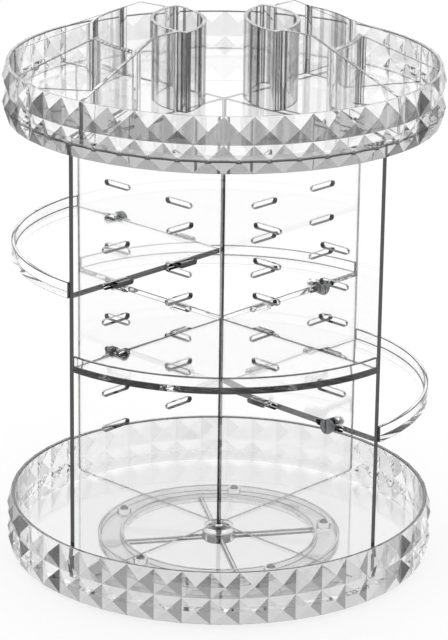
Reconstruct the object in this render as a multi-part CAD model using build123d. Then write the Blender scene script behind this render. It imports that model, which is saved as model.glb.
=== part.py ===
from build123d import *
import math
import os

# Rotating organizer for cosmetics: two facetted trays, crossed panels with
# hanging shelves between them, and a turntable foot under the lower tray.
# Lengths are in millimetres and angles in degrees. Angles count from +X, seen
# from above, and the front is at -Y. The origin is on the table, on the axis.

# Facetted wall and floor, the same for both trays
facet_columns = 48
facet_rows = 2
facet_row_height = 14.65
valley_radius = 115.0
facet_depth = 2.0
tray_wall = 2.3
tray_floor = 2.5
tray_floor_rise = 6.5
base_facet_turn = -1.8
top_facet_turn = 0.0

# Heights of the two trays over the table
base_tray_lift = 3.0
top_tray_lift = 246.4

# Crossed panels
panel_turn = 1.7
panel_thickness = 3.0
panel_clearance = 0.7
panel_corner_radius = 2.5
lap_play = 0.1
lug_length = 8.0
lug_edge_distance = 16.0
lug_play = 0.2

# Slots in the panels
slot_rows = 6
slot_row_spacing = 19.65
slot_first_height = 92.1
slot_length = 19.0
slot_height = 3.4
inner_slot_start = 24.0
slot_edge_margin = 21.6

# Shelves
shelf_overhang = 1.1
shelf_thickness = 3.0
shelf_height = 8.8
shelf_rim = 2.0
tab_length = 12.7
tab_height = 2.8
tab_reach = 3.0

# Turn locks
lock_head_radius = 4.0
lock_head_thickness = 3.0
lock_shank_radius = 1.45
lock_shank_length = 6.0
lock_key_length = 4.6
lock_key_width = 2.4
lock_key_depth = 1.8
lock_slit_width = 1.1
lock_slit_depth = 1.0
lock_bore_play = 0.05
lock_boss_wall = 1.0

# Raised walls in the top tray
divider_turn = 6.0
divider_wall = 2.2
divider_height = 42.6
divider_flat_radius = 58.0
holder_radius = 39.5
holder_half_angle = 54.6
holder_near = 10.0
cell_radius = 71.0
cell_half_angle = 45.0
corridor_half_angle = 14.0
divider_corner_radius = 2.5
divider_edge_rounding = 1.0

# Turntable foot
foot_outer_radius = 68.0
foot_ring_width = 14.0
foot_web = 2.0
foot_edge = 1.6
foot_edge_height = 5.2
foot_turn = 11.0
spoke_count = 4
spoke_width = 2.8
spoke_height = 3.0
hub_radius = 9.0
hub_recess_depth = 2.6

# Bearing balls and their cups
ball_count = 5
ball_radius = 2.5
ball_inset = 7.5
ball_first_angle = 10.0
cup_wall = 1.2
cup_cover = 0.9

# Pivot screw, washer and collar
screw_radius = 2.0
screw_head_radius = 4.2
screw_head_height = 1.9
screw_bite = 1.3
screw_drive_width = 1.4
screw_drive_length = 4.6
screw_drive_depth = 0.8
screw_bore_play = 0.05
collar_radius = 9.0
collar_height = 2.5
washer_radius = 7.0
washer_thickness = 0.8

# Rubber pads under the foot
pad_radius = 5.0
pad_thickness = 1.0

# Clearances: flat seats, and pieces that move past each other
seat_gap = 0.1
running_gap = 0.3

# Length that cuts run past the faces they open
overrun = 5.0

# Places worked out from the sizes above
tray_bore_radius = valley_radius - tray_wall
panel_reach = tray_bore_radius - panel_clearance
shelf_radius = panel_reach + shelf_overhang
lug_place = panel_reach - lug_edge_distance
outer_slot_start = panel_reach - slot_edge_margin - slot_length
foot_inner_radius = foot_outer_radius - foot_ring_width
ball_circle_radius = foot_outer_radius - ball_inset

# Heights worked out from the sizes above
base_floor_low = base_tray_lift + tray_floor_rise
base_floor_top = base_floor_low + tray_floor
top_floor_low = top_tray_lift + tray_floor_rise
top_floor_top = top_floor_low + tray_floor
tray_height = facet_rows * facet_row_height
panel_low = base_floor_top + seat_gap
panel_top = top_floor_low - seat_gap
panel_height = panel_top - panel_low
panel_middle = (panel_low + panel_top) / 2
lock_place = outer_slot_start + slot_length / 2
quarter_turn = 90.0
half_turn = 180.0
full_turn = 360.0

up = (Align.CENTER, Align.CENTER, Align.MIN)
down = (Align.CENTER, Align.CENTER, Align.MAX)


def round_point(radius, angle, height):
    """Point at a radius and an angle round the axis."""
    turn = math.radians(angle)
    return Vector(radius * math.cos(turn), radius * math.sin(turn), height)


def row_height(row):
    """Height of a row of slots, counted from the lowest."""
    return slot_first_height + row * slot_row_spacing


def facetted_drum(facet_turn):
    """Closed drum whose wall is covered with rows of square pyramids."""
    step = full_turn / facet_columns
    faces = []
    rings = []
    for level in range(facet_rows + 1):
        height = level * facet_row_height
        ring = [round_point(valley_radius, facet_turn + i * step, height) for i in range(facet_columns)]
        rings.append(ring)
    for level in range(facet_rows):
        for i in range(facet_columns):
            nxt = (i + 1) % facet_columns
            angle = facet_turn + (2 * i + 1) * step / 2
            height = (2 * level + 1) * facet_row_height / 2
            point = round_point(valley_radius + facet_depth, angle, height)
            low, high = rings[level], rings[level + 1]
            corners = [low[i], low[nxt], high[nxt], high[i]]
            for k in range(4):
                edge = [corners[k], corners[(k + 1) % 4], point]
                faces.append(Face(Wire.make_polygon(edge, close=True)))
    faces.append(Face(Wire.make_polygon(rings[0], close=True)))
    faces.append(Face(Wire.make_polygon(rings[-1], close=True)))
    return Solid(Shell(faces))


def lug_slots():
    """Four slots in a tray's floor that take the lugs of the panels."""
    length = lug_length + 2 * lug_play
    width = panel_thickness + 2 * lug_play
    slots = Part()
    for arm in range(4):
        angle = panel_turn + quarter_turn / 2 + arm * quarter_turn
        slot = Pos(lug_place, 0, 0) * Box(length, width, tray_floor + 2 * overrun)
        slots += Rot(0, 0, angle) * slot
    return slots


def tray(facet_turn):
    """Facetted tray, standing on the lower edge of its wall."""
    floor_top = tray_floor_rise + tray_floor
    body = facetted_drum(facet_turn)
    inside = Pos(0, 0, floor_top) * Cylinder(tray_bore_radius, tray_height, align=up)
    skirt = Pos(0, 0, tray_floor_rise) * Cylinder(tray_bore_radius, tray_height, align=down)
    body = body - inside - skirt
    return body - Pos(0, 0, tray_floor_rise) * lug_slots()


def base_tray():
    """Lower tray, with the collar under its floor that the pivot screw bites into."""
    body = Pos(0, 0, base_tray_lift) * tray(base_facet_turn)
    body += Pos(0, 0, base_floor_low) * Cylinder(collar_radius, collar_height, align=down)
    hole_low = base_floor_low - collar_height
    hole = Cylinder(screw_radius + seat_gap, collar_height + screw_bite + running_gap, align=up)
    return body - Pos(0, 0, hole_low) * hole


def top_tray():
    """Upper tray, which rests on the tops of the panels."""
    return Pos(0, 0, top_tray_lift) * tray(top_facet_turn)


def slot_places():
    """Middle of each slot along a panel, on both its arms."""
    places = []
    for start in (inner_slot_start, outer_slot_start):
        middle = start + slot_length / 2
        places += [middle, -middle]
    return places


def panel(angle, slit_from_top):
    """Long panel through the axis, with its slots, lugs and half-height slit."""
    outline = Pos(0, panel_middle) * RectangleRounded(2 * panel_reach, panel_height, panel_corner_radius)
    for side in (-1, 1):
        low_lug = Pos(side * lug_place, panel_low) * Rectangle(lug_length, 2 * tray_floor)
        high_lug = Pos(side * lug_place, panel_top) * Rectangle(lug_length, 2 * tray_floor)
        outline = outline + low_lug + high_lug
    for row in range(slot_rows):
        for place in slot_places():
            outline -= Pos(place, row_height(row)) * SlotOverall(slot_length, slot_height)
    slit_width = panel_thickness + 2 * lap_play
    slit_height = panel_height / 2 + lap_play
    if slit_from_top:
        slit_middle = panel_top - slit_height / 2
    else:
        slit_middle = panel_low + slit_height / 2
    slit = Pos(0, slit_middle) * Rectangle(slit_width, slit_height)
    plate = extrude(Plane.XZ * (outline - slit), amount=panel_thickness / 2, both=True)
    return Rot(0, 0, angle) * plate


def quadrant(radius, start):
    """Quarter disc whose straight edges start a little off the two axes."""
    cover = 2 * radius
    square = Pos(start, start) * Rectangle(cover, cover, align=(Align.MIN, Align.MIN))
    return Circle(radius) & square


def shelf_tab(start):
    """Tab that reaches through a slot of the panel along +X."""
    depth = panel_thickness + tab_reach + seat_gap + shelf_rim
    low = -panel_thickness / 2 - tab_reach
    outline = Pos(start + seat_gap + tab_length / 2, 0) * SlotOverall(tab_length, tab_height)
    return Pos(0, low, 0) * extrude(Plane.XZ * outline, amount=-depth)


def lock_boss_radius():
    return lock_key_length / 2 + running_gap + lock_boss_wall


def shelf(angle, row):
    """Quarter-round shelf between two panels, with its rim, tabs and lock boss."""
    edge = panel_thickness / 2 + seat_gap
    low = -shelf_thickness / 2
    plate = Pos(0, 0, low) * extrude(quadrant(shelf_radius, edge), amount=shelf_thickness)
    band = quadrant(shelf_radius, edge) - Circle(shelf_radius - shelf_rim)
    rim = Pos(0, 0, low) * extrude(band, amount=shelf_height)
    body = plate + rim
    body += shelf_tab(inner_slot_start)
    for start in (inner_slot_start, outer_slot_start):
        body += mirror(shelf_tab(start), about=Plane(origin=(0, 0, 0), z_dir=(1, -1, 0)))
    boss_length = lock_shank_length + lock_key_depth + running_gap + lock_boss_wall - panel_thickness
    inward = Pos(lock_place, edge, 0) * Rot(-quarter_turn, 0, 0)
    body += inward * Cylinder(lock_boss_radius(), boss_length, align=up)
    bore = Cylinder(lock_shank_radius + lock_bore_play, boss_length - lock_boss_wall, align=up)
    keyway_length = lock_key_length + 2 * running_gap
    keyway_width = lock_key_width + 2 * running_gap
    keyway = Box(keyway_length, keyway_width, boss_length - lock_boss_wall, align=up)
    pocket_low = lock_shank_length - panel_thickness - seat_gap - running_gap
    pocket_depth = lock_key_depth + 2 * running_gap
    pocket = Cylinder(lock_key_length / 2 + running_gap, pocket_depth, align=up)
    body -= inward * (bore + keyway + Pos(0, 0, pocket_low) * pocket)
    return Rot(0, 0, angle) * Pos(0, 0, row_height(row)) * body


def turn_lock(angle, row):
    """Round lock with a slit head outside the panel and a key inside the shelf's boss."""
    head = Cylinder(lock_head_radius, lock_head_thickness, align=down)
    head = fillet(head.edges().filter_by(GeomType.CIRCLE).sort_by(Axis.Z)[0], lock_slit_depth / 2)
    slit_low = -lock_head_thickness
    slit = Box(lock_slit_width, 2 * lock_head_radius + overrun, lock_slit_depth, align=up)
    slit = Pos(0, 0, slit_low) * slit
    shank = Cylinder(lock_shank_radius, lock_shank_length + running_gap, align=up)
    key = Box(lock_key_width, lock_key_length, lock_key_depth, align=up)
    round_key = Cylinder(lock_key_length / 2, lock_key_depth, align=up)
    key = Pos(0, 0, lock_shank_length + running_gap) * (key & round_key)
    body = head - slit + shank + key
    seat = -panel_thickness / 2 - running_gap
    body = Pos(lock_place, seat, 0) * Rot(-quarter_turn, 0, 0) * body
    return Rot(0, 0, angle) * Pos(0, 0, row_height(row)) * body


def ray_wall(angle, inner, outer):
    """Straight wall, seen from above, from one radius to another."""
    wall = Pos(inner, 0) * Rectangle(outer - inner, divider_wall, align=(Align.MIN, Align.CENTER))
    return Rot(0, 0, angle) * wall


def holder_outline(inset):
    """Lens between a round about the axis and a round that bulges towards it."""
    tip_x = holder_radius * math.cos(math.radians(holder_half_angle))
    tip_y = holder_radius * math.sin(math.radians(holder_half_angle))
    rise = tip_x - holder_near
    bulge_radius = (tip_y ** 2 + rise ** 2) / (2 * rise)
    bulge = Pos(holder_near + bulge_radius, 0) * Circle(bulge_radius - inset)
    return Circle(holder_radius - inset) & bulge


def divider(angle):
    """Half of the top tray's walls: holder, two long walls, arcs and a corridor.

    The plan is grown and shrunk again, which rounds the corners between walls.
    """
    outer = tray_bore_radius - seat_gap
    plan = holder_outline(0)
    plan += ray_wall(cell_half_angle, holder_radius - divider_wall / 2, outer + overrun)
    plan += ray_wall(-cell_half_angle, holder_radius - divider_wall / 2, outer + overrun)
    plan -= holder_outline(divider_wall)
    ring = Circle(cell_radius + divider_wall / 2) - Circle(cell_radius - divider_wall / 2)
    for side in (-1, 1):
        span = cell_half_angle - corridor_half_angle
        middle = side * (cell_half_angle + corridor_half_angle) / 2
        reach = 2 * cell_radius
        half_span = math.radians(span / 2)
        low_corner = (reach * math.cos(half_span), -reach * math.sin(half_span))
        high_corner = (reach * math.cos(half_span), reach * math.sin(half_span))
        wedge = make_face(Polyline((0, 0), low_corner, high_corner, close=True))
        plan += ring & (Rot(0, 0, middle) * wedge)
        plan += ray_wall(side * corridor_half_angle, cell_radius - divider_wall / 2, outer + overrun)
    for radius in (divider_corner_radius, -divider_edge_rounding):
        plan = offset(plan, amount=radius, kind=Kind.ARC)
        plan = offset(plan, amount=-radius, kind=Kind.ARC)
    low = top_floor_top + seat_gap
    walls = Pos(0, 0, low) * extrude(plan, amount=divider_height)
    rim_height = top_tray_lift + tray_height
    slope = Polyline(
        (0, low),
        (outer, low),
        (outer, rim_height),
        (divider_flat_radius, low + divider_height),
        (0, low + divider_height),
        close=True,
    )
    envelope = revolve(Plane.XZ * make_face(slope), axis=Axis.Z)
    return Rot(0, 0, angle) * (walls & envelope)


def turntable_foot():
    """Foot ring with raised edges and ball cups, joined to the hub by spokes."""
    web_top = pad_thickness + foot_web
    ring = Circle(foot_outer_radius) - Circle(foot_inner_radius)
    body = Pos(0, 0, pad_thickness) * extrude(ring, amount=foot_web)
    inner_edge = Circle(foot_inner_radius + foot_edge) - Circle(foot_inner_radius)
    outer_edge = Circle(foot_outer_radius) - Circle(foot_outer_radius - foot_edge)
    for edge in (inner_edge, outer_edge):
        body += Pos(0, 0, pad_thickness) * extrude(edge, amount=foot_edge_height)
    cup_radius = ball_radius + running_gap + cup_wall
    cup_height = ball_height() + cup_cover - pad_thickness
    pocket_low = ball_height() - ball_radius - running_gap
    for angle in ball_angles():
        place = Rot(0, 0, angle) * Pos(ball_circle_radius, 0, 0)
        body += place * Pos(0, 0, pad_thickness) * Cylinder(cup_radius, cup_height, align=up)
        pocket = Cylinder(ball_radius + running_gap, cup_height + web_top, align=up)
        body -= place * Pos(0, 0, pocket_low) * pocket
    for k in range(spoke_count):
        length = foot_inner_radius + foot_edge / 2
        spoke = Box(length, spoke_width, spoke_height, align=(Align.MIN, Align.CENTER, Align.MIN))
        body += Rot(0, 0, foot_turn + k * full_turn / spoke_count) * Pos(0, 0, pad_thickness) * spoke
    body += Pos(0, 0, pad_thickness) * Cylinder(hub_radius, hub_top() - pad_thickness, align=up)
    recess = Cylinder(screw_head_radius + running_gap, hub_recess_depth, align=up)
    bore = Cylinder(screw_radius + screw_bore_play, hub_top(), align=up)
    return body - Pos(0, 0, pad_thickness) * (recess + bore)


def hub_top():
    """Height of the hub's upper face, under the washer."""
    return base_floor_low - collar_height - seat_gap - washer_thickness


def ball_height():
    """Height of the centres of the balls, just under the tray's floor."""
    return base_floor_low - running_gap - ball_radius


def ball_angles():
    return [ball_first_angle + k * full_turn / ball_count for k in range(ball_count)]


def bearing_ball(angle):
    """Steel ball that carries the lower tray's floor."""
    return Pos(*round_point(ball_circle_radius, angle, ball_height())) * Sphere(ball_radius)


def thrust_washer():
    """Thin washer on the hub, under the tray's collar."""
    disc = Circle(washer_radius) - Circle(screw_radius + running_gap)
    return Pos(0, 0, hub_top()) * extrude(disc, amount=washer_thickness)


def pivot_screw():
    """Screw that holds the tray to the hub; its head turns in the hub's recess."""
    head_top = pad_thickness + hub_recess_depth - running_gap
    tip = base_floor_low + screw_bite
    head = Pos(0, 0, head_top) * Cylinder(screw_head_radius, screw_head_height, align=down)
    shank = Pos(0, 0, head_top) * Cylinder(screw_radius, tip - head_top, align=up)
    body = head + shank
    for turn in (0, quarter_turn):
        drive = Box(screw_drive_length, screw_drive_width, 2 * screw_drive_depth)
        body -= Pos(0, 0, head_top - screw_head_height) * Rot(0, 0, turn) * drive
    return body


def foot_pads():
    """Rubber pads glued under the foot ring, midway between the balls."""
    pads = []
    for angle in ball_angles():
        place = round_point(ball_circle_radius, angle + half_turn / ball_count, 0)
        pads.append(Pos(*place) * Cylinder(pad_radius, pad_thickness, align=up))
    return Compound(children=pads)


# Each piece is written under its own name. A shelf starts at one panel, where
# its lock is, and ends at the next one round.
front_left_angle = half_turn + quarter_turn / 2 + panel_turn
shelf_plan = {
    "left": (front_left_angle - quarter_turn, 4),
    "front": (front_left_angle, 2),
    "right": (front_left_angle + quarter_turn, 0),
    "back": (front_left_angle + half_turn, 2),
}

pieces = {
    "turntable_foot": turntable_foot(),
    "foot_pads": foot_pads(),
    "thrust_washer": thrust_washer(),
    "pivot_screw": pivot_screw(),
    "base_tray": base_tray(),
    "panel_front_left": panel(front_left_angle, True),
    "panel_front_right": panel(front_left_angle + quarter_turn, False),
    "top_tray": top_tray(),
    "divider_right": divider(divider_turn),
    "divider_left": divider(divider_turn + half_turn),
}
for number, ball_angle in enumerate(ball_angles(), start=1):
    pieces[f"bearing_ball_{number}"] = bearing_ball(ball_angle)
for side_name, (start_angle, slot_row) in shelf_plan.items():
    pieces[f"shelf_{side_name}"] = shelf(start_angle, slot_row)
    pieces[f"lock_{side_name}"] = turn_lock(start_angle, slot_row)

os.makedirs("parts", exist_ok=True)
for name, piece in pieces.items():
    export_step(piece, f"parts/{name}.step")
    print(name, len(piece.solids()), round(piece.volume, 1))
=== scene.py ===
import math
import bmesh
import bpy
from mathutils import Matrix, Vector


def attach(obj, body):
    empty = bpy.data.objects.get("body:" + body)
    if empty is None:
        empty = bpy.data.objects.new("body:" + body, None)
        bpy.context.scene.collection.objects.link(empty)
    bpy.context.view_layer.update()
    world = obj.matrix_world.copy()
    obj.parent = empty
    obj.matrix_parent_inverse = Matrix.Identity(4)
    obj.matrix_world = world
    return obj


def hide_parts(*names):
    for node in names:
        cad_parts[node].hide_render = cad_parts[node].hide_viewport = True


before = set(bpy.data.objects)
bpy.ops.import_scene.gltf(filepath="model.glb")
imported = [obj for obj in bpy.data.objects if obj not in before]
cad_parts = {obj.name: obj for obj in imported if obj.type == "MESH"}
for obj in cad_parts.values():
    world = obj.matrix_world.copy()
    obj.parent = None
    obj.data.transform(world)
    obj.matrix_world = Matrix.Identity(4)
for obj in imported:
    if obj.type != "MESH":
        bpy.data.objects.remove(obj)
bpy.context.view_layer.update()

# Turntable foot
# A ring on four spokes, moulded in one shot from clear styrene. Two raised
# edges stiffen it, five cups hold the bearing balls, and the hub takes the screw.
scene = bpy.context.scene
mm = 0.001
foot_rounding = 0.3 * mm
spoke_rounding = 0.75 * mm
spoke_start, spoke_end = 17 * mm, 53 * mm
foot_shortest = 0.8 * mm
foot_tint = (0.8, 0.8, 0.81, 1)
# Nearly black colour of the painted shade on the foot's rounded edges.
foot_edge_shade_tint = (0.02, 0.02, 0.021, 1)
styrene_bend = 1.55


def add(tree, kind, inputs=None, **settings):
    """New node in a tree. Its inputs take plain values or another node's output."""
    made = tree.nodes.new(kind)
    for name, value in settings.items():
        setattr(made, name, value)
    for key, value in (inputs or {}).items():
        if isinstance(value, bpy.types.NodeSocket):
            tree.links.new(value, made.inputs[key])
        else:
            made.inputs[key].default_value = value
    return made


def sum_of(tree, how, *values):
    """Output of one Math node on the values."""
    return add(tree, "ShaderNodeMath", dict(enumerate(values)), operation=how).outputs[0]


def vector_of(tree, x=0.0, y=0.0, z=0.0):
    """Output of a node that puts three numbers into one vector."""
    return add(tree, "ShaderNodeCombineXYZ", {"X": x, "Y": y, "Z": z}).outputs[0]


def effect_group(name, inputs, outputs):
    """Empty shader group with named float inputs and outputs, and its two end nodes."""
    tree = bpy.data.node_groups.new(name, "ShaderNodeTree")
    for label, value in inputs.items():
        socket = tree.interface.new_socket(name=label, in_out="INPUT", socket_type="NodeSocketFloat")
        socket.default_value = value
    for label in outputs:
        tree.interface.new_socket(name=label, in_out="OUTPUT", socket_type="NodeSocketFloat")
    return tree, tree.nodes.new("NodeGroupInput"), tree.nodes.new("NodeGroupOutput")


flow_size = 45
flow_stretch = 3.0
flow_depth = 0.02 * mm


def melt_flow_group():
    """Long low waves that the plastic keeps from flowing into its mould."""
    tree, given, result = effect_group("melt_flow", {"Scale": flow_size, "Stretch": flow_stretch}, ("Height",))
    place = add(tree, "ShaderNodeTexCoord").outputs["Object"]
    stretch = vector_of(tree, 1.0, 1.0, given.outputs["Stretch"])
    long_place = add(tree, "ShaderNodeVectorMath", {0: place, 1: stretch}, operation="MULTIPLY").outputs[0]
    wave = add(tree, "ShaderNodeTexNoise", {"Vector": long_place, "Scale": given.outputs["Scale"], "Detail": 1.0})
    tree.links.new(wave.outputs["Fac"], result.inputs["Height"])
    return tree


hairline_spacing = 160.0
hairline_width = 0.03
hairline_worn = 0.06
handled_size = 28.0
handled_start, handled_full = 0.5, 0.72
handled_haze = 0.015


def hairline_group():
    """Hairline scuffs inside handled patches, as a roughness and a mask."""
    tree, given, result = effect_group(
        "hairlines",
        {"Spacing": hairline_spacing, "Clean": 0.0, "Worn": hairline_worn, "Haze": handled_haze},
        ("Roughness", "Mask"),
    )
    place = add(tree, "ShaderNodeTexCoord").outputs["Object"]
    cells = add(
        tree,
        "ShaderNodeTexVoronoi",
        {"Vector": place, "Scale": given.outputs["Spacing"]},
        feature="DISTANCE_TO_EDGE",
    )
    near_edge = {"Value": cells.outputs["Distance"], "From Min": 0.0, "From Max": hairline_width}
    line = add(tree, "ShaderNodeMapRange", {**near_edge, "To Min": 1.0, "To Max": 0.0}).outputs[0]
    patch = add(tree, "ShaderNodeTexNoise", {"Vector": place, "Scale": handled_size, "Detail": 2.0})
    in_patch = {"Value": patch.outputs["Fac"], "From Min": handled_start, "From Max": handled_full}
    handled = add(tree, "ShaderNodeMapRange", in_patch).outputs[0]
    mask = sum_of(tree, "MULTIPLY", line, handled)
    scuff = sum_of(tree, "MULTIPLY", mask, given.outputs["Worn"])
    haze = sum_of(tree, "MULTIPLY", handled, given.outputs["Haze"])
    rough = sum_of(tree, "ADD", sum_of(tree, "ADD", scuff, haze), given.outputs["Clean"])
    tree.links.new(rough, result.inputs["Roughness"])
    tree.links.new(mask, result.inputs["Mask"])
    return tree


melt_flow = melt_flow_group()
hairlines = hairline_group()
# Painted shade in the clear plastics: the share that faces seen from inside lose, the darkest it may reach, and
# where grazing adds to it.
inside_shade_loss = 0.62
deepest_painted_shade = 0.98
grazed_shade_start, grazed_shade_full = 0.62, 0.9
level_slope, upright_slope = 0.9, 0.3


def soft_step(tree, value, start, end):
    """0 up to the start and 1 from the end on, with a smooth change between them."""
    steps = {"Value": value, "From Min": start, "From Max": end}
    return add(tree, "ShaderNodeMapRange", steps, interpolation_type="SMOOTHSTEP").outputs[0]


def colour_mix(tree, share, first, second):
    """The first colour where the share is 0, and the second where it is 1."""
    return add(tree, "ShaderNodeMix", {0: share, 6: first, 7: second}, data_type="RGBA").outputs[2]


def new_material(name):
    """Material with its node tree and its own shader."""
    material = bpy.data.materials.new(name)
    material.use_nodes = True
    return material, material.node_tree, material.node_tree.nodes["Principled BSDF"]


def clear_material(
    name, tint, bend, wave_depth, haze=0.0, clean=0.0, wave_scale=flow_size, through=1.0, grazed_shade=0.0
):
    """Clear plastic with melt flow in its surface and hairlines in its gloss.

    Each face's stored tone is painted shade that darkens its colour, less so
    where the face is seen from inside. Upright walls seen along their surface
    get more painted shade by the grazing share, in place of the dark
    surroundings that thick plastic bends in where it turns away.
    """
    material, tree, shader = new_material(name)
    shader.inputs["Transmission Weight"].default_value = through
    shader.inputs["IOR"].default_value = bend
    tone = add(tree, "ShaderNodeAttribute", attribute_name="tone").outputs["Fac"]
    surface = add(tree, "ShaderNodeNewGeometry").outputs
    left_over = sum_of(tree, "MULTIPLY_ADD", surface["Backfacing"], -inside_shade_loss, 1.0)
    shade_share = sum_of(tree, "MULTIPLY", tone, left_over)
    if grazed_shade:
        facing = add(tree, "ShaderNodeLayerWeight", {"Blend": 0.5}).outputs["Facing"]
        normal = add(tree, "ShaderNodeSeparateXYZ", {0: surface["True Normal"]}).outputs
        upright = soft_step(tree, sum_of(tree, "ABSOLUTE", normal["Z"]), level_slope, upright_slope)
        along = sum_of(tree, "MULTIPLY", soft_step(tree, facing, grazed_shade_start, grazed_shade_full), upright)
        shade_share = sum_of(tree, "MULTIPLY_ADD", along, grazed_shade, shade_share)
    shade_share = sum_of(tree, "MINIMUM", shade_share, deepest_painted_shade)
    tree.links.new(colour_mix(tree, shade_share, tint, (0.0, 0.0, 0.0, 1)), shader.inputs["Base Color"])
    flow = add(tree, "ShaderNodeGroup", node_tree=melt_flow)
    flow.inputs["Scale"].default_value = wave_scale
    wave = add(tree, "ShaderNodeBump", {"Height": flow.outputs["Height"], "Distance": wave_depth, "Strength": 1.0})
    tree.links.new(wave.outputs[0], shader.inputs["Normal"])
    wear = add(tree, "ShaderNodeGroup", {"Haze": haze, "Clean": clean}, node_tree=hairlines)
    tree.links.new(wear.outputs["Roughness"], shader.inputs["Roughness"])
    return material


def plain_piece(name, mesh):
    """New object in the scene, with a mesh."""
    piece = bpy.data.objects.new(name, mesh)
    scene.collection.objects.link(piece)
    return piece


def applied(piece):
    """The piece's mesh with its modifiers applied, which it then has as its own."""
    held = bpy.context.evaluated_depsgraph_get()
    final = piece.evaluated_get(held)
    mesh = bpy.data.meshes.new_from_object(final, preserve_all_data_layers=True, depsgraph=held)
    piece.modifiers.clear()
    piece.data = mesh
    return mesh


rounding_steps = 2


def finish_piece(piece, material, edge, width_of, on_edge=None, held_back=True):
    """Rounds each fold by the width that width_of gives it.

    on_edge says which faces have the edge's material, and held_back keeps
    two roundings from running into each other.
    """
    mesh = applied(piece)
    mesh.polygons.foreach_set("use_smooth", [True] * len(mesh.polygons))
    work = bmesh.new()
    work.from_mesh(mesh)
    widths = [width_of(fold) if len(fold.link_faces) == 2 else 0.0 for fold in work.edges]
    work.free()
    widest = max(widths)
    weights = mesh.attributes.new("bevel_weight_edge", "FLOAT", "EDGE")
    weights.data.foreach_set("value", [width / widest for width in widths])
    mesh.materials.clear()
    for kind in (material, edge):
        mesh.materials.append(kind)
    rounding = piece.modifiers.new("rounding", "BEVEL")
    rounding.width = widest
    rounding.segments = rounding_steps
    rounding.use_clamp_overlap = held_back
    rounding.limit_method = "WEIGHT"
    rounding.miter_outer = "MITER_ARC"
    rounding.material = 1
    even = piece.modifiers.new("even_shine", "WEIGHTED_NORMAL")
    even.keep_sharp = False
    mesh = applied(piece)
    if on_edge:
        for face in mesh.polygons:
            face.material_index = int(on_edge(face))
    return piece


def folds(width, sharpest=30.0, shortest=0.0):
    """The same width for each fold that is sharper than an angle and longer than a length."""
    least = math.radians(sharpest)
    return lambda fold: width if fold.calc_face_angle(0.0) > least and fold.calc_length() > shortest else 0.0


doubles_reach = 0.002 * mm
flat_angle = math.radians(0.5)


def rounded_copy(node, name, material, edge, width_of, on_edge=None, held_back=True):
    """Copy of a CAD node with its doubles merged, its flats joined and its folds rounded."""
    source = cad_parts[node].data
    mesh = bpy.data.meshes.new(name)
    mesh.from_pydata([v.co[:] for v in source.vertices], [], [p.vertices[:] for p in source.polygons])
    work = bmesh.new()
    work.from_mesh(mesh)
    bmesh.ops.remove_doubles(work, verts=work.verts, dist=doubles_reach)
    bmesh.ops.dissolve_limit(work, angle_limit=flat_angle, verts=work.verts, edges=work.edges)
    work.to_mesh(mesh)
    work.free()
    return finish_piece(plain_piece(name, mesh), material, edge, width_of, on_edge, held_back)


ring_folds = folds(foot_rounding, shortest=foot_shortest)
spoke_folds = folds(spoke_rounding, shortest=foot_shortest)


def foot_folds(fold):
    """Softer rounding along the spokes than on the ring and the hub."""
    middle = (fold.verts[0].co + fold.verts[1].co) / 2
    on_spoke = spoke_start < math.hypot(middle.x, middle.y) < spoke_end
    return spoke_folds(fold) if on_spoke else ring_folds(fold)


foot_plastic = clear_material("foot_plastic", foot_tint, styrene_bend, flow_depth, haze=0.02)
# The foot's roundings take a nearly black material: painted shade that outlines the ring, the spokes and the hub.
foot_edge = clear_material("foot_edge", foot_edge_shade_tint, styrene_bend, flow_depth, haze=0.05, through=0.2)
clear_foot = rounded_copy("turntable_foot", "clear_foot", foot_plastic, foot_edge, foot_folds, held_back=False)
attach(clear_foot, "foot")
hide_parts("turntable_foot")

# Foot pads
# Five dots of soft clear silicone glued under the ring, so that the foot stays
# put while the carousel turns. Each has a rolled edge and a dish underneath.
pad_count = 5
pad_circle = 60.5 * mm
pad_radius = 5 * mm
pad_height = 0.97 * mm
pad_first_angle = math.radians(46)
pad_dish = 0.25 * mm
pad_dish_share = 0.7
pad_smoothness = 40
pad_rounding = 0.25 * mm
pad_tint = (0.93, 0.93, 0.92, 1)
silicone_bend = 1.41


def number_sockets(tree, kind, values):
    """Named inputs on a Geometry Nodes tree."""
    for label, value in values.items():
        tree.interface.new_socket(name=label, in_out="INPUT", socket_type=kind).default_value = value


def new_shape_tree(name, sizes, counts=None):
    """Empty Geometry Nodes tree with named sizes, counts and a material."""
    tree = bpy.data.node_groups.new(name, "GeometryNodeTree")
    tree.interface.new_socket(name="Geometry", in_out="INPUT", socket_type="NodeSocketGeometry")
    tree.interface.new_socket(name="Geometry", in_out="OUTPUT", socket_type="NodeSocketGeometry")
    number_sockets(tree, "NodeSocketFloat", sizes)
    number_sockets(tree, "NodeSocketInt", counts or {})
    tree.interface.new_socket(name="Material", in_out="INPUT", socket_type="NodeSocketMaterial")
    return tree, tree.nodes.new("NodeGroupInput"), tree.nodes.new("NodeGroupOutput")


def moved(tree, geometry, **how):
    """Geometry after one Transform node, which takes a Translation, a Rotation or both."""
    return add(tree, "GeometryNodeTransform", {"Geometry": geometry, **how}).outputs[0]


def real_copies(tree, geometry):
    """Real mesh or curves in the place of instances."""
    return add(tree, "GeometryNodeRealizeInstances", {"Geometry": geometry}).outputs[0]


def close_tree(tree, given, result, geometry):
    """The last two steps of each tree: real mesh, and its material."""
    real = real_copies(tree, geometry)
    dressed = add(tree, "GeometryNodeSetMaterial", {"Geometry": real, "Material": given.outputs["Material"]})
    tree.links.new(dressed.outputs[0], result.inputs[0])


def grow(piece, tree, material, **sizes):
    """Puts a tree on a piece and sets its inputs by the sockets' identifiers."""
    step = piece.modifiers.new(tree.name, "NODES")
    step.node_group = tree
    for item in tree.interface.items_tree:
        label = item.name.lower().replace(" ", "_")
        if item.in_out == "INPUT" and label in sizes:
            step[item.identifier] = sizes[label]
        elif item.in_out == "INPUT" and item.name == "Material":
            step[item.identifier] = material
    return piece


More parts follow.
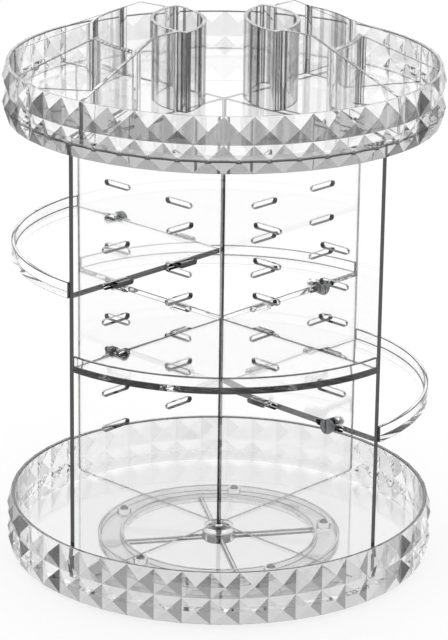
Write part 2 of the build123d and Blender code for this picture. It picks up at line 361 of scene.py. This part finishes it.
def pad_tree():
    """A pad with a dish in its underside, set out round the ring."""
    tree, given, result = new_shape_tree(
        "pads_on_ring",
        {
            "Circle": pad_circle,
            "Radius": pad_radius,
            "Height": pad_height,
            "First Angle": pad_first_angle,
            "Dish": pad_dish,
        },
        {"Count": pad_count, "Segments": pad_smoothness},
    )
    size = given.outputs
    pad = add(
        tree,
        "GeometryNodeMeshCylinder",
        {"Vertices": size["Segments"], "Radius": size["Radius"], "Depth": size["Height"]},
        fill_type="NGON",
    )
    under = add(
        tree,
        "GeometryNodeExtrudeMesh",
        {"Mesh": pad.outputs["Mesh"], "Selection": pad.outputs["Bottom"], "Offset Scale": 0.0},
    )
    inset = add(
        tree,
        "GeometryNodeScaleElements",
        {"Geometry": under.outputs["Mesh"], "Selection": under.outputs["Top"], "Scale": pad_dish_share},
    )
    raised = add(
        tree,
        "GeometryNodeSetPosition",
        {"Geometry": inset.outputs[0], "Selection": under.outputs["Top"], "Offset": vector_of(tree, z=size["Dish"])},
    )
    half_height = sum_of(tree, "MULTIPLY", size["Height"], 0.5)
    lifted = moved(tree, raised.outputs[0], Translation=vector_of(tree, z=half_height))
    ring = add(tree, "GeometryNodeMeshCircle", {"Vertices": size["Count"], "Radius": size["Circle"]})
    turned = moved(tree, ring.outputs[0], Rotation=vector_of(tree, z=size["First Angle"]))
    placed = add(tree, "GeometryNodeInstanceOnPoints", {"Points": turned, "Instance": lifted})
    close_tree(tree, given, result, placed.outputs[0])
    return tree


def empty_piece(name):
    """Object with an empty mesh, for a tree to fill."""
    return plain_piece(name, bpy.data.meshes.new(name))


pad_rubber = clear_material("pad_rubber", pad_tint, silicone_bend, flow_depth, haze=0.15, clean=0.3)
soft_pads = grow(empty_piece("soft_pads"), pad_tree(), pad_rubber)
finish_piece(soft_pads, pad_rubber, pad_rubber, folds(pad_rounding))
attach(soft_pads, "foot")
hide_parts("foot_pads")

# Bearing balls
# Five loose balls of hardened chrome steel, lapped and polished, that roll in
# the foot's cups and carry the floor of the base tray.
ball_count = 5
steel_colour = (0.07, 0.07, 0.075, 1)
grain_size = 900.0
dull_share = 0.7


def metal_material(name, colour, clean, worn, spacing):
    """Bare metal with hairlines, and fine grain in its colour."""
    material, tree, shader = new_material(name)
    shader.inputs["Metallic"].default_value = 1.0
    wear = add(
        tree, "ShaderNodeGroup", {"Clean": clean, "Worn": worn, "Spacing": spacing}, node_tree=hairlines
    )
    tree.links.new(wear.outputs["Roughness"], shader.inputs["Roughness"])
    place = add(tree, "ShaderNodeTexCoord").outputs["Object"]
    grain = add(tree, "ShaderNodeTexNoise", {"Vector": place, "Scale": grain_size, "Detail": 4.0})
    dull = [share * dull_share for share in colour[:3]] + [1]
    tree.links.new(colour_mix(tree, grain.outputs["Fac"], colour, dull), shader.inputs["Base Color"])
    return material


ball_steel = metal_material("ball_steel", steel_colour, clean=0.06, worn=0.2, spacing=900.0)
for number in range(1, ball_count + 1):
    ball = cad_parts[f"bearing_ball_{number}"]
    ball.data.materials.clear()
    ball.data.materials.append(ball_steel)

# Thrust washer
# A thin ring of natural nylon that lies on the hub. The collar under the base
# tray turns on it.
washer_rounding = 0.15 * mm
nylon_tint = (0.9, 0.9, 0.87, 1)
nylon_bend = 1.53
washer_nylon = clear_material("washer_nylon", nylon_tint, nylon_bend, flow_depth, haze=0.1, clean=0.3)
washer = rounded_copy("thrust_washer", "nylon_washer", washer_nylon, washer_nylon, folds(washer_rounding))
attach(washer, "foot")
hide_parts("thrust_washer")

# Pivot screw
# A zinc-plated screw with a cross drive. Its head turns in the hub's recess and
# its thread bites into the collar under the base tray.
screw_core = 1.6 * mm
screw_crest = 1.98 * mm
screw_pitch = 0.9 * mm
shank_low, shank_high = 3.4 * mm, 10.6 * mm
thread_length = shank_high - shank_low
thread_smoothness = 24
ridge_corners = 4
screw_rounding = 0.12 * mm
zinc_colour = (0.5, 0.5, 0.53, 1)


def joined(tree, *parts):
    """All the parts in one geometry."""
    together = add(tree, "GeometryNodeJoinGeometry")
    for part in parts:
        tree.links.new(part, together.inputs[0])
    return together.outputs[0]


def thread_tree():
    """A ridge swept along a spiral, which winds round the shank."""
    tree, given, result = new_shape_tree(
        "screw_thread",
        {"Radius": screw_core, "Ridge": screw_crest - screw_core, "Height": 1.0, "Low": 0.0, "Turns": 1.0},
    )
    size = given.outputs
    path = add(
        tree,
        "GeometryNodeCurveSpiral",
        {
            "Resolution": thread_smoothness,
            "Rotations": size["Turns"],
            "Start Radius": size["Radius"],
            "End Radius": size["Radius"],
            "Height": size["Height"],
        },
    )
    lifted = moved(tree, path.outputs[0], Translation=vector_of(tree, z=size["Low"]))
    ridge = add(tree, "GeometryNodeCurvePrimitiveCircle", {"Resolution": ridge_corners, "Radius": size["Ridge"]})
    swept = add(
        tree, "GeometryNodeCurveToMesh", {"Curve": lifted, "Profile Curve": ridge.outputs[0], "Fill Caps": True}
    )
    close_tree(tree, given, result, joined(tree, swept.outputs[0], size["Geometry"]))
    return tree


screw_zinc = metal_material("screw_zinc", zinc_colour, clean=0.22, worn=0.2, spacing=500.0)
screw = rounded_copy("pivot_screw", "zinc_screw", screw_zinc, screw_zinc, folds(screw_rounding))
for point in screw.data.vertices:
    out = math.hypot(point.co.x, point.co.y)
    if point.co.z > shank_low and out > screw_core:
        point.co.x *= screw_core / out
        point.co.y *= screw_core / out
grow(screw, thread_tree(), screw_zinc, height=thread_length, low=shank_low, turns=thread_length / screw_pitch)
applied(screw)
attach(screw, "carousel")
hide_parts("pivot_screw")

# Base tray
# A round clear tray, moulded in one piece. Its outside wall is two rows of
# square pyramids, and its floor has four slots for the lugs of the panels.
tray_sizes = dict(
    row_height=14.65 * mm,
    valley_radius=115 * mm,
    facet_depth=2 * mm,
    bore_radius=112.7 * mm,
    floor_rise=6.5 * mm,
    floor_thickness=2.5 * mm,
    lug_place=96 * mm,
    lug_length=8.4 * mm,
    lug_width=3.4 * mm,
    lug_turn=math.radians(46.7),
)
tray_counts = dict(columns=48, rows=2, smoothness=192)
base_lift = 3 * mm
base_turn = math.radians(-1.8)
collar_radius = 9 * mm
collar_height = 2.5 * mm
collar_bore = 2.1 * mm
facet_rounding = 0.14 * mm
rim_rounding = 0.7 * mm
plastic_tint = (1.0, 1.0, 1.0, 1)
# Nearly black colour of the painted edge shade.
edge_shade_tint = (0.06, 0.06, 0.062, 1)
plastic_bend = 1.5
tray_flow_depth = 0.01 * mm
# Painted shade on each slope of the facets, on the rim's top and on the floor.
base_painted_shades = dict(right=0.86, left=0.5, top=0.34, bottom=0.57, rim=0.96, floor=0.1)


def carved(tree, how, parts, body=None):
    """The union of the parts, or the body with the parts cut away."""
    made = add(tree, "GeometryNodeMeshBoolean", {"Mesh 1": body} if body else {}, operation=how, solver="EXACT")
    for part in parts:
        tree.links.new(part, made.inputs["Mesh 2"])
    return made.outputs[0]


arms = 4
pyramid_tip = 0.015
weld_reach = 0.005 * mm
least_collar = 0.1 * mm
collar_overlap = 1 * mm
bore_overlap = 1.6 * mm
cutter_overlap = 5 * mm
lug_cutter_height = 12 * mm


def facetted_tray_tree():
    """Tray with a wall of pyramids: a grid is raised into pyramids, wrapped to a drum and hollowed."""
    sizes = {"Lift": 0.0, "Turn": 0.0, "Collar Radius": 1.0, "Collar Height": 1.0, "Collar Bore": 1.0}
    for label, value in tray_sizes.items():
        sizes[label.replace("_", " ").title()] = value
    counts = {label.title(): value for label, value in tray_counts.items()}
    tree, given, result = new_shape_tree("facetted_tray", sizes, counts)
    size = given.outputs
    flat = add(
        tree,
        "GeometryNodeMeshGrid",
        {
            "Size X": 1.0,
            "Size Y": 1.0,
            "Vertices X": sum_of(tree, "ADD", size["Columns"], 1.0),
            "Vertices Y": sum_of(tree, "ADD", size["Rows"], 1.0),
        },
    )
    raised = add(
        tree,
        "GeometryNodeExtrudeMesh",
        {"Mesh": flat.outputs["Mesh"], "Offset Scale": size["Facet Depth"], "Individual": True},
    )
    pointed = add(
        tree,
        "GeometryNodeScaleElements",
        {"Geometry": raised.outputs["Mesh"], "Selection": raised.outputs["Top"], "Scale": pyramid_tip},
    )
    position = add(tree, "GeometryNodeInputPosition").outputs[0]
    place = add(tree, "ShaderNodeSeparateXYZ", {0: position}).outputs
    height = sum_of(tree, "MULTIPLY", size["Row Height"], size["Rows"])
    angle = sum_of(tree, "MULTIPLY_ADD", sum_of(tree, "ADD", place["X"], 0.5), math.tau, size["Turn"])
    out = sum_of(tree, "ADD", place["Z"], size["Valley Radius"])
    wrap = vector_of(
        tree,
        sum_of(tree, "MULTIPLY", out, sum_of(tree, "COSINE", angle)),
        sum_of(tree, "MULTIPLY", out, sum_of(tree, "SINE", angle)),
        sum_of(tree, "MULTIPLY", sum_of(tree, "ADD", place["Y"], 0.5), height),
    )
    drum = add(tree, "GeometryNodeSetPosition", {"Geometry": pointed.outputs[0], "Position": wrap}).outputs[0]
    lid = add(
        tree,
        "GeometryNodeMeshCircle",
        {"Vertices": size["Columns"], "Radius": size["Valley Radius"]},
        fill_type="NGON",
    ).outputs[0]
    spin = vector_of(tree, z=size["Turn"])
    top_lid = moved(tree, lid, Rotation=spin, Translation=vector_of(tree, z=height))
    low_lid = add(tree, "GeometryNodeFlipFaces", {0: moved(tree, lid, Rotation=spin)}).outputs[0]
    shell = joined(tree, drum, top_lid, low_lid)
    closed = add(tree, "GeometryNodeMergeByDistance", {"Geometry": shell, "Distance": weld_reach}).outputs[0]

    def cylinder(radius, low, high):
        """Solid cylinder on the tray's axis, between two heights."""
        depth = sum_of(tree, "SUBTRACT", high, low)
        middle = sum_of(tree, "MULTIPLY", sum_of(tree, "ADD", high, low), 0.5)
        sides = {"Vertices": size["Smoothness"], "Radius": radius, "Depth": depth}
        made = add(tree, "GeometryNodeMeshCylinder", sides)
        return moved(tree, made.outputs["Mesh"], Translation=vector_of(tree, z=middle))

    floor_top = sum_of(tree, "ADD", size["Floor Rise"], size["Floor Thickness"])
    inside = cylinder(size["Bore Radius"], floor_top, sum_of(tree, "ADD", height, cutter_overlap))
    skirt = cylinder(size["Bore Radius"], -cutter_overlap, size["Floor Rise"])
    arm_ends = add(tree, "GeometryNodeMeshCircle", {"Vertices": arms, "Radius": size["Lug Place"]})
    slot_size = vector_of(tree, size["Lug Length"], size["Lug Width"], lug_cutter_height)
    slot = add(tree, "GeometryNodeMeshCube", {"Size": slot_size})
    quarter = sum_of(tree, "MULTIPLY", add(tree, "GeometryNodeInputIndex").outputs[0], math.tau / arms)
    slots = add(
        tree,
        "GeometryNodeInstanceOnPoints",
        {"Points": arm_ends.outputs[0], "Instance": slot.outputs[0], "Rotation": vector_of(tree, z=quarter)},
    )
    slot_middle = sum_of(tree, "ADD", size["Floor Rise"], tray_sizes["floor_thickness"] / 2)
    turned_slots = moved(
        tree,
        slots.outputs[0],
        Rotation=vector_of(tree, z=size["Lug Turn"]),
        Translation=vector_of(tree, z=slot_middle),
    )
    hollow = carved(tree, "DIFFERENCE", (inside, skirt, real_copies(tree, turned_slots)), closed)
    collar_low = sum_of(tree, "SUBTRACT", size["Floor Rise"], size["Collar Height"])
    collar_high = sum_of(tree, "ADD", size["Floor Rise"], collar_overlap)
    with_collar = carved(tree, "UNION", (hollow, cylinder(size["Collar Radius"], collar_low, collar_high)))
    bore_low = sum_of(tree, "SUBTRACT", collar_low, cutter_overlap)
    bore_high = sum_of(tree, "ADD", size["Floor Rise"], bore_overlap)
    bored = carved(tree, "DIFFERENCE", (cylinder(size["Collar Bore"], bore_low, bore_high),), with_collar)
    has_collar = add(
        tree,
        "FunctionNodeCompare",
        {0: size["Collar Height"], 1: least_collar},
        operation="GREATER_THAN",
        data_type="FLOAT",
    ).outputs[0]
    choice = {"Switch": has_collar, "False": hollow, "True": bored}
    either = add(tree, "GeometryNodeSwitch", choice, input_type="GEOMETRY").outputs[0]
    close_tree(tree, given, result, moved(tree, either, Translation=vector_of(tree, z=size["Lift"])))
    return tree


facetted_tray = facetted_tray_tree()
# Upright tray walls get painted shade where they are seen along their surface.
tray_plastic = clear_material("tray_plastic", plastic_tint, plastic_bend, tray_flow_depth, grazed_shade=0.8)
# A nearly opaque dark plastic for rounded strips and cut faces: painted shade that draws dark lines on the trays,
# panels, shelves, locks and dividers.
smoky_edge = clear_material(
    "smoky_edge", edge_shade_tint, plastic_bend, tray_flow_depth, haze=0.05, through=0.25
)


def give_painted_shades(piece, tone_of):
    """Stores on each face of a piece the painted shade that the given function works out."""
    shade_layer = piece.data.attributes.new("tone", "FLOAT", "FACE")
    shade_layer.data.foreach_set("value", [tone_of(face) for face in piece.data.polygons])


flattest_fold = math.radians(8)
line_reach = 0.05 * mm
dark_reach = 1.2 * mm
same_height = 0.01 * mm
level_face = 0.99
outward_face = 0.8
wall_thickness = 1.2 * mm
# Painted shade: the least a facet has, and shards of painted dark and light that grow towards the tray's two ends.
lightest_facet_shade = 0.05
shard_shade_strength, shard_shade_power = 2.1, 8
shard_shade_x, shard_shade_z = 7.3, 3.9


def tray_piece(name, lift, turn, collar, painted_shades, floor_rounding):
    """One tray, with a painted dark line round its rim, one round its floor, and painted shade on each facet."""
    piece = grow(
        empty_piece(name),
        facetted_tray,
        tray_plastic,
        lift=lift,
        turn=turn,
        collar_radius=collar_radius,
        collar_height=collar,
        collar_bore=collar_bore,
        **tray_sizes,
        **tray_counts,
    )
    rim = lift + tray_counts["rows"] * tray_sizes["row_height"]
    painted_dark_lines = {rim: rim_rounding, lift + tray_sizes["floor_rise"]: floor_rounding}

    def line_at(point, reach):
        """Rounding of the dark line that a point is on, or nothing."""
        if abs(math.hypot(point.x, point.y) - tray_sizes["bore_radius"]) < reach:
            return max((width for height, width in painted_dark_lines.items() if abs(point.z - height) < reach), default=0.0)
        return 0.0

    def tray_folds(fold):
        """The painted dark lines' own roundings, and the same small one for the other folds."""
        if fold.calc_face_angle(0.0) < flattest_fold:
            return 0.0
        return line_at((fold.verts[0].co + fold.verts[1].co) / 2, line_reach) or facet_rounding

    def painted_dark_line(face):
        """Rounded faces on a dark line that is wider than the other roundings. They take the painted edge shade."""
        return face.material_index and line_at(face.center, dark_reach) > facet_rounding

    def tray_painted_shade(face):
        """Painted shade of the rim, of the floor, or of a facet by its slope, with painted shards of dark and light
        at the tray's two ends.
        """
        if face.normal.z > level_face:
            return painted_shades["rim"] if abs(face.center.z - rim) < same_height else painted_shades["floor"]
        out = Vector((face.center.x, face.center.y, 0))
        radius = out.length
        out.normalize()
        along = out.cross(face.normal).z
        if radius <= tray_sizes["bore_radius"] + wall_thickness or face.normal.dot(out) <= outward_face:
            return 0.0
        if abs(along) > abs(face.normal.z):
            tone = painted_shades["right"] if along > 0 else painted_shades["left"]
        else:
            tone = painted_shades["top"] if face.normal.z > 0 else painted_shades["bottom"]
        wave = math.sin(shard_shade_x * face.center.x / mm + shard_shade_z * face.center.z / mm)
        return max(tone + shard_shade_strength * out.x**shard_shade_power * wave, lightest_facet_shade)

    finish_piece(piece, tray_plastic, smoky_edge, tray_folds, painted_dark_line)
    give_painted_shades(piece, tray_painted_shade)
    return piece


clear_base_tray = tray_piece("clear_base_tray", base_lift, base_turn, collar_height, base_painted_shades, 0.0)
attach(clear_base_tray, "carousel")
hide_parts("base_tray")

# Crossed panels
# Two clear sheets that stand on edge in the base tray and cross at the axis,
# each slit to half its height. Slots for the shelves are cut in six rows.
panel_reach = 112 * mm
panel_low, panel_top = 12.1 * mm, 252.8 * mm
panel_thickness = 3 * mm
panel_corner = 2.5 * mm
corner_steps = 8
panel_rounding = 0.25 * mm
panel_fold = 40.0
sheet_face = 0.9
lug_reach = 2.5 * mm
lug_place, lug_half = tray_sizes["lug_place"], 4 * mm
slit_half = 1.6 * mm
slit_length = 120.45 * mm
front_left_turn = math.radians(226.7)
slot_rows = 6
slot_spacing = 19.65 * mm
slot_first = 92.1 * mm
slot_length, slot_height = 19 * mm, 3.4 * mm
slot_end_share = 0.499
slot_end_steps = 8
inner_slot, outer_slot = 33.5 * mm, 80.9 * mm
sheet_flow_depth = 0.004 * mm
sheet_flow_size = 20


def corner_arc(x, z, first_quarter):
    """Points of one rounded corner, a quarter turn from the given one."""
    points = []
    for step in range(corner_steps + 1):
        angle = math.tau / 4 * (first_quarter + step / corner_steps)
        points.append((x + panel_corner * math.cos(angle), z + panel_corner * math.sin(angle)))
    return points


def panel_edge(slit_from_top):
    """Outline of a panel, anticlockwise from its lower left corner."""
    x, low, top = panel_reach - panel_corner, panel_low + panel_corner, panel_top - panel_corner
    below = []
    for side in (-1, 1):
        a, b = side * lug_place - lug_half, side * lug_place + lug_half
        below += [(a, panel_low), (a, panel_low - lug_reach), (b, panel_low - lug_reach), (b, panel_low)]
    above = [(-a, panel_top + panel_low - z) for a, z in below]
    slit = [(-slit_half, 0), (-slit_half, slit_length), (slit_half, slit_length), (slit_half, 0)]
    if slit_from_top:
        above[4:4] = [(-a, panel_top - z) for a, z in slit]
    else:
        below[4:4] = [(a, panel_low + z) for a, z in slit]
    low_side = corner_arc(-x, low, 2) + below + corner_arc(x, low, 3)
    return low_side + corner_arc(x, top, 0) + above + corner_arc(-x, top, 1)


def slotted_panel_tree():
    """Panel from its outline: slots are set out in rows, and the sheet is given its thickness."""
    tree, given, result = new_shape_tree(
        "slotted_panel",
        {
            "Thickness": panel_thickness,
            "Turn": 0.0,
            "Slot Length": slot_length,
            "Slot Height": slot_height,
            "Row Spacing": slot_spacing,
            "First Row": slot_first,
            "Inner Slot": inner_slot,
            "Outer Slot": outer_slot,
        },
        {"Rows": slot_rows},
    )
    size = given.outputs
    oblong = add(
        tree,
        "GeometryNodeCurvePrimitiveQuadrilateral",
        {"Width": size["Slot Length"], "Height": size["Slot Height"]},
    )
    end_radius = sum_of(tree, "MULTIPLY", size["Slot Height"], slot_end_share)
    slot = add(
        tree,
        "GeometryNodeFilletCurve",
        {"Curve": oblong.outputs[0], "Count": slot_end_steps, "Radius": end_radius},
        mode="POLY",
    )
    first_row = vector_of(tree, y=size["First Row"])
    row_step = vector_of(tree, y=size["Row Spacing"])
    column = add(
        tree, "GeometryNodeMeshLine", {"Count": size["Rows"], "Start Location": first_row, "Offset": row_step}
    )
    spots = []
    for place in (size["Inner Slot"], size["Outer Slot"]):
        for side in (-1.0, 1.0):
            off_centre = vector_of(tree, x=sum_of(tree, "MULTIPLY", place, side))
            spots.append(moved(tree, column.outputs[0], Translation=off_centre))
    slots = add(
        tree, "GeometryNodeInstanceOnPoints", {"Points": joined(tree, *spots), "Instance": slot.outputs[0]}
    )
    real_slots = real_copies(tree, slots.outputs[0])
    edge = add(tree, "GeometryNodeMeshToCurve", {"Mesh": size["Geometry"]})
    lines = joined(tree, edge.outputs[0], real_slots)
    sheet = add(tree, "GeometryNodeFillCurve", {"Curve": lines}, mode="NGONS").outputs[0]
    upward = vector_of(tree, z=1.0)
    thick = add(
        tree,
        "GeometryNodeExtrudeMesh",
        {"Mesh": sheet, "Offset": upward, "Offset Scale": size["Thickness"], "Individual": False},
    )
    back = add(tree, "GeometryNodeFlipFaces", {0: sheet})
    both = joined(tree, thick.outputs[0], back.outputs[0])
    closed = add(tree, "GeometryNodeMergeByDistance", {"Geometry": both, "Distance": weld_reach}).outputs[0]
    half_down = vector_of(tree, z=sum_of(tree, "MULTIPLY", size["Thickness"], -0.5))
    centred = moved(tree, closed, Translation=half_down)
    upright = moved(tree, centred, Rotation=vector_of(tree, x=math.tau / 4))
    close_tree(tree, given, result, moved(tree, upright, Rotation=vector_of(tree, z=size["Turn"])))
    return tree


slotted_panel = slotted_panel_tree()
sheet_plastic = clear_material(
    "sheet_plastic", plastic_tint, plastic_bend, sheet_flow_depth, wave_scale=sheet_flow_size
)
for name, turn, from_top in (
    ("panel_front_left", front_left_turn, True),
    ("panel_front_right", front_left_turn + math.tau / 4, False),
):
    corners = panel_edge(from_top)
    loop = [(i, (i + 1) % len(corners)) for i in range(len(corners))]
    outline = bpy.data.meshes.new(name + "_outline")
    outline.from_pydata([(x, z, 0) for x, z in corners], loop, [])
    panel = grow(plain_piece("clear_" + name, outline), slotted_panel, sheet_plastic, turn=turn)
    flat = Vector((-math.sin(turn), math.cos(turn), 0))

    def cut_edge_shaded(face):
        """Any face that isn't one of the two large ones. These take the painted edge shade."""
        return abs(face.normal.dot(flat)) < sheet_face

    finish_piece(panel, sheet_plastic, smoky_edge, folds(panel_rounding, panel_fold), cut_edge_shaded)
    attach(panel, "carousel")
    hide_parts(name)

# Shelves and their locks
# Four quarter-round shelves with a raised rim hang in the slots by moulded
# tabs. A grey turn lock goes through the panel into each shelf's boss.
shelf_rounding = 0.42 * mm
shelf_shortest = 1.5 * mm
lock_rounding = 0.3 * mm
# Painted shade on the top of each shelf's rim, deep on the front one and light on the rest.
rim_painted_shades = dict(left=0.1, front=0.9, right=0.1, back=0.1)
rim_reach = 0.1 * mm
rim_face = 0.9
side_slope = 0.3
side_turn = 0.5
lock_tint = (0.4, 0.41, 0.43, 1)
shelf_plastic = clear_material("shelf_plastic", plastic_tint, plastic_bend, tray_flow_depth)
lock_plastic = clear_material(
    "lock_plastic", lock_tint, plastic_bend, flow_depth, haze=0.05, clean=0.12, through=0.5
)


def shelf_side(face):
    """The rounded edges, and the straight sides that stand against the near panels. These take the painted edge
    shade.
    """
    out = Vector((face.center.x, face.center.y, 0)).normalized()
    upright = abs(face.normal.z) < side_slope
    against_panel = face.center.y < 0 and upright and abs(face.normal.dot(out)) < side_turn
    return face.material_index or against_panel


shelf_folds = folds(shelf_rounding, shortest=shelf_shortest)
for side, rim_shade in rim_painted_shades.items():
    shelf = rounded_copy(
        "shelf_" + side,
        "clear_shelf_" + side,
        shelf_plastic,
        smoky_edge,
        shelf_folds,
        shelf_side,
        held_back=False,
    )
    rim_low = max(corner.co.z for corner in shelf.data.vertices) - rim_reach
    give_painted_shades(shelf, lambda face: rim_shade if face.normal.z > rim_face and face.center.z > rim_low else 0.0)
    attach(shelf, "carousel")
    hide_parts("shelf_" + side)
    lock = rounded_copy("lock_" + side, "grey_lock_" + side, lock_plastic, smoky_edge, folds(lock_rounding))
    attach(lock, "lock_" + side)
    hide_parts("lock_" + side)

# Top tray
# The same tray again, with no collar under its floor. It lies on the tops of the
# panels, whose lugs stand in its slots.
top_lift = 246.4 * mm
# A wide rounding round the floor, which the painted edge shade turns into a dark line, and painted shade on the top
# tray's facets and rim.
top_floor_rounding = 1.4 * mm
top_painted_shades = dict(right=0.72, left=0.72, top=0.0, bottom=0.82, rim=0.6, floor=0.0)
clear_top_tray = tray_piece("clear_top_tray", top_lift, 0.0, 0.0, top_painted_shades, top_floor_rounding)
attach(clear_top_tray, "top_tray")
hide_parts("top_tray")

# Dividers
# Two moulded sets of walls stand in the top tray, each with a tall lens-shaped
# holder for brushes, and two long walls whose tops slope down to the rim.
divider_rounding = 0.2 * mm
upright_face = 0.1
narrow_strip, wide_strip = 2 * mm, 8 * mm
end_face = 0.97
# Painted shade streaks in the walls' rounded corners. The walls' roundings also take the painted edge shade, and
# upright walls seen along their surface get painted grazing shade.
streak_x, streak_y = 3.1, 1.7
narrow_shade, narrow_streak = 0.65, 0.6
end_shade, end_streak = 0.7, 0.5
strip_shade, strip_streak, strip_power = 0.08, 0.85, 3


def divider_painted_shade(face, points):
    """Painted shade of a narrow upright face in a rounded corner. No two have the same, so they read as streaks of
    shade.
    """
    corners = [points[i].co for i in face.vertices]
    wide = max(math.hypot(a.x - b.x, a.y - b.y) for a in corners for b in corners)
    streak = math.sin(face.center.x / mm * streak_x + face.center.y / mm * streak_y)
    if abs(face.normal.z) > upright_face or wide > wide_strip:
        return 0.0
    if wide < narrow_strip:
        return max(narrow_shade + narrow_streak * streak, 0.0)
    if abs(face.normal.x) > end_face:
        return end_shade + end_streak * streak
    return strip_shade + strip_streak * max(streak, 0.0) ** strip_power


divider_plastic = clear_material("divider_plastic", plastic_tint, plastic_bend, tray_flow_depth, grazed_shade=0.95)
for side in ("left", "right"):
    walls = rounded_copy(
        "divider_" + side, "clear_divider_" + side, divider_plastic, smoky_edge, folds(divider_rounding)
    )
    give_painted_shades(walls, lambda face: divider_painted_shade(face, walls.data.vertices))
    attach(walls, "top_tray")
    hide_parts("divider_" + side)

# Studio floor
# A plain pale floor that takes a soft shadow. To the camera, and in whatever the
# plastic mirrors or lets through, it is nearly white.
floor_reach = 30.0
floor_level = -0.01 * mm
floor_grey = (0.96, 0.96, 0.96, 1)
pure_white = (1, 1, 1, 1)
white_share = 0.82
floor_mesh = bpy.data.meshes.new("studio_floor")
floor_corners = [
    (x * floor_reach, y * floor_reach, floor_level) for x, y in ((-1, -1), (1, -1), (1, 1), (-1, 1))
]
floor_mesh.from_pydata(floor_corners, [], [(0, 1, 2, 3)])
floor = plain_piece("studio_floor", floor_mesh)
floor_paint, tree, paint = new_material("floor_paint")
paint.inputs["Base Color"].default_value = floor_grey
paint.inputs["Roughness"].default_value = 0.9
paint.inputs["Specular IOR Level"].default_value = 0.0
ray = add(tree, "ShaderNodeLightPath").outputs
by_plastic = sum_of(tree, "MAXIMUM", ray["Is Glossy Ray"], ray["Is Transmission Ray"])
seen = sum_of(tree, "MAXIMUM", ray["Is Camera Ray"], by_plastic)
white = add(tree, "ShaderNodeEmission", {"Color": pure_white, "Strength": 1.0})
share = sum_of(tree, "MULTIPLY", seen, white_share)
mixed = add(tree, "ShaderNodeMixShader", {0: share, 1: paint.outputs[0], 2: white.outputs[0]})
tree.links.new(mixed.outputs[0], tree.nodes["Material Output"].inputs[0])
floor_mesh.materials.append(floor_paint)

# Studio light
# A white tent with a dark band hung round it over the horizon, much paler beyond
# the organizer, that draws the edges of clear plastic. The camera sees plain white.
band_low, band_low_full = 0.06, 0.12
band_high, band_high_full = 0.6, 0.45
band_dark = 0.98
beyond_start, beyond_full = 0.55, 0.75
beyond_dark = 0.2
tent_light = 1.4
light_bounces = 160
studio = bpy.data.worlds.new("studio")
scene.world = studio
studio.use_nodes = True
tree = studio.node_tree
aim = add(tree, "ShaderNodeSeparateXYZ", {0: add(tree, "ShaderNodeTexCoord").outputs["Generated"]}).outputs
low_edge = soft_step(tree, aim["Z"], band_low, band_low_full)
high_edge = soft_step(tree, aim["Z"], band_high, band_high_full)
beyond = {"Value": aim["Y"], "From Min": beyond_start, "From Max": beyond_full, "To Min": 1.0, "To Max": beyond_dark}
sides = add(tree, "ShaderNodeMapRange", beyond).outputs[0]
band = sum_of(tree, "MULTIPLY", sum_of(tree, "MULTIPLY", low_edge, high_edge), sides)
taken = sum_of(tree, "MULTIPLY", band, band_dark)
level = sum_of(tree, "MULTIPLY", sum_of(tree, "SUBTRACT", 1.0, taken), tent_light)
ray = add(tree, "ShaderNodeLightPath").outputs
seen_level = add(tree, "ShaderNodeMix", {0: ray["Is Camera Ray"], 2: level, 3: 1.0}).outputs[0]
tree.links.new(seen_level, tree.nodes["Background"].inputs["Strength"])
tree.nodes["Background"].inputs["Color"].default_value = pure_white
scene.view_settings.view_transform = "Standard"
scene.cycles.max_bounces = light_bounces
scene.cycles.transmission_bounces = light_bounces
scene.cycles.glossy_bounces = light_bounces
scene.cycles.use_denoising = True

# Camera
# It stands where the photographer stood: a metre and a half in front of the
# organizer, higher than its top, and looks down on it through a long lens.
camera_place = (0, -1.51045, 0.65305)
yaw, pitch, roll = (math.radians(angle) for angle in (0.055, 19.072, 0.767))
lens = bpy.data.cameras.new("camera")
lens.sensor_width = 36
lens.lens = 165.85
lens.clip_start = 0.05
forward = Vector((math.sin(yaw) * math.cos(pitch), math.cos(yaw) * math.cos(pitch), -math.sin(pitch)))
right = Vector((math.cos(yaw), -math.sin(yaw), 0))
upward = right.cross(forward)
turned_right = math.cos(roll) * right + math.sin(roll) * upward
turned_up = math.cos(roll) * upward - math.sin(roll) * right
aimed = Matrix((turned_right, turned_up, -forward)).transposed().to_4x4()
camera = bpy.data.objects.new("camera", lens)
camera.matrix_world = Matrix.Translation(camera_place) @ aimed
scene.collection.objects.link(camera)
scene.camera = camera
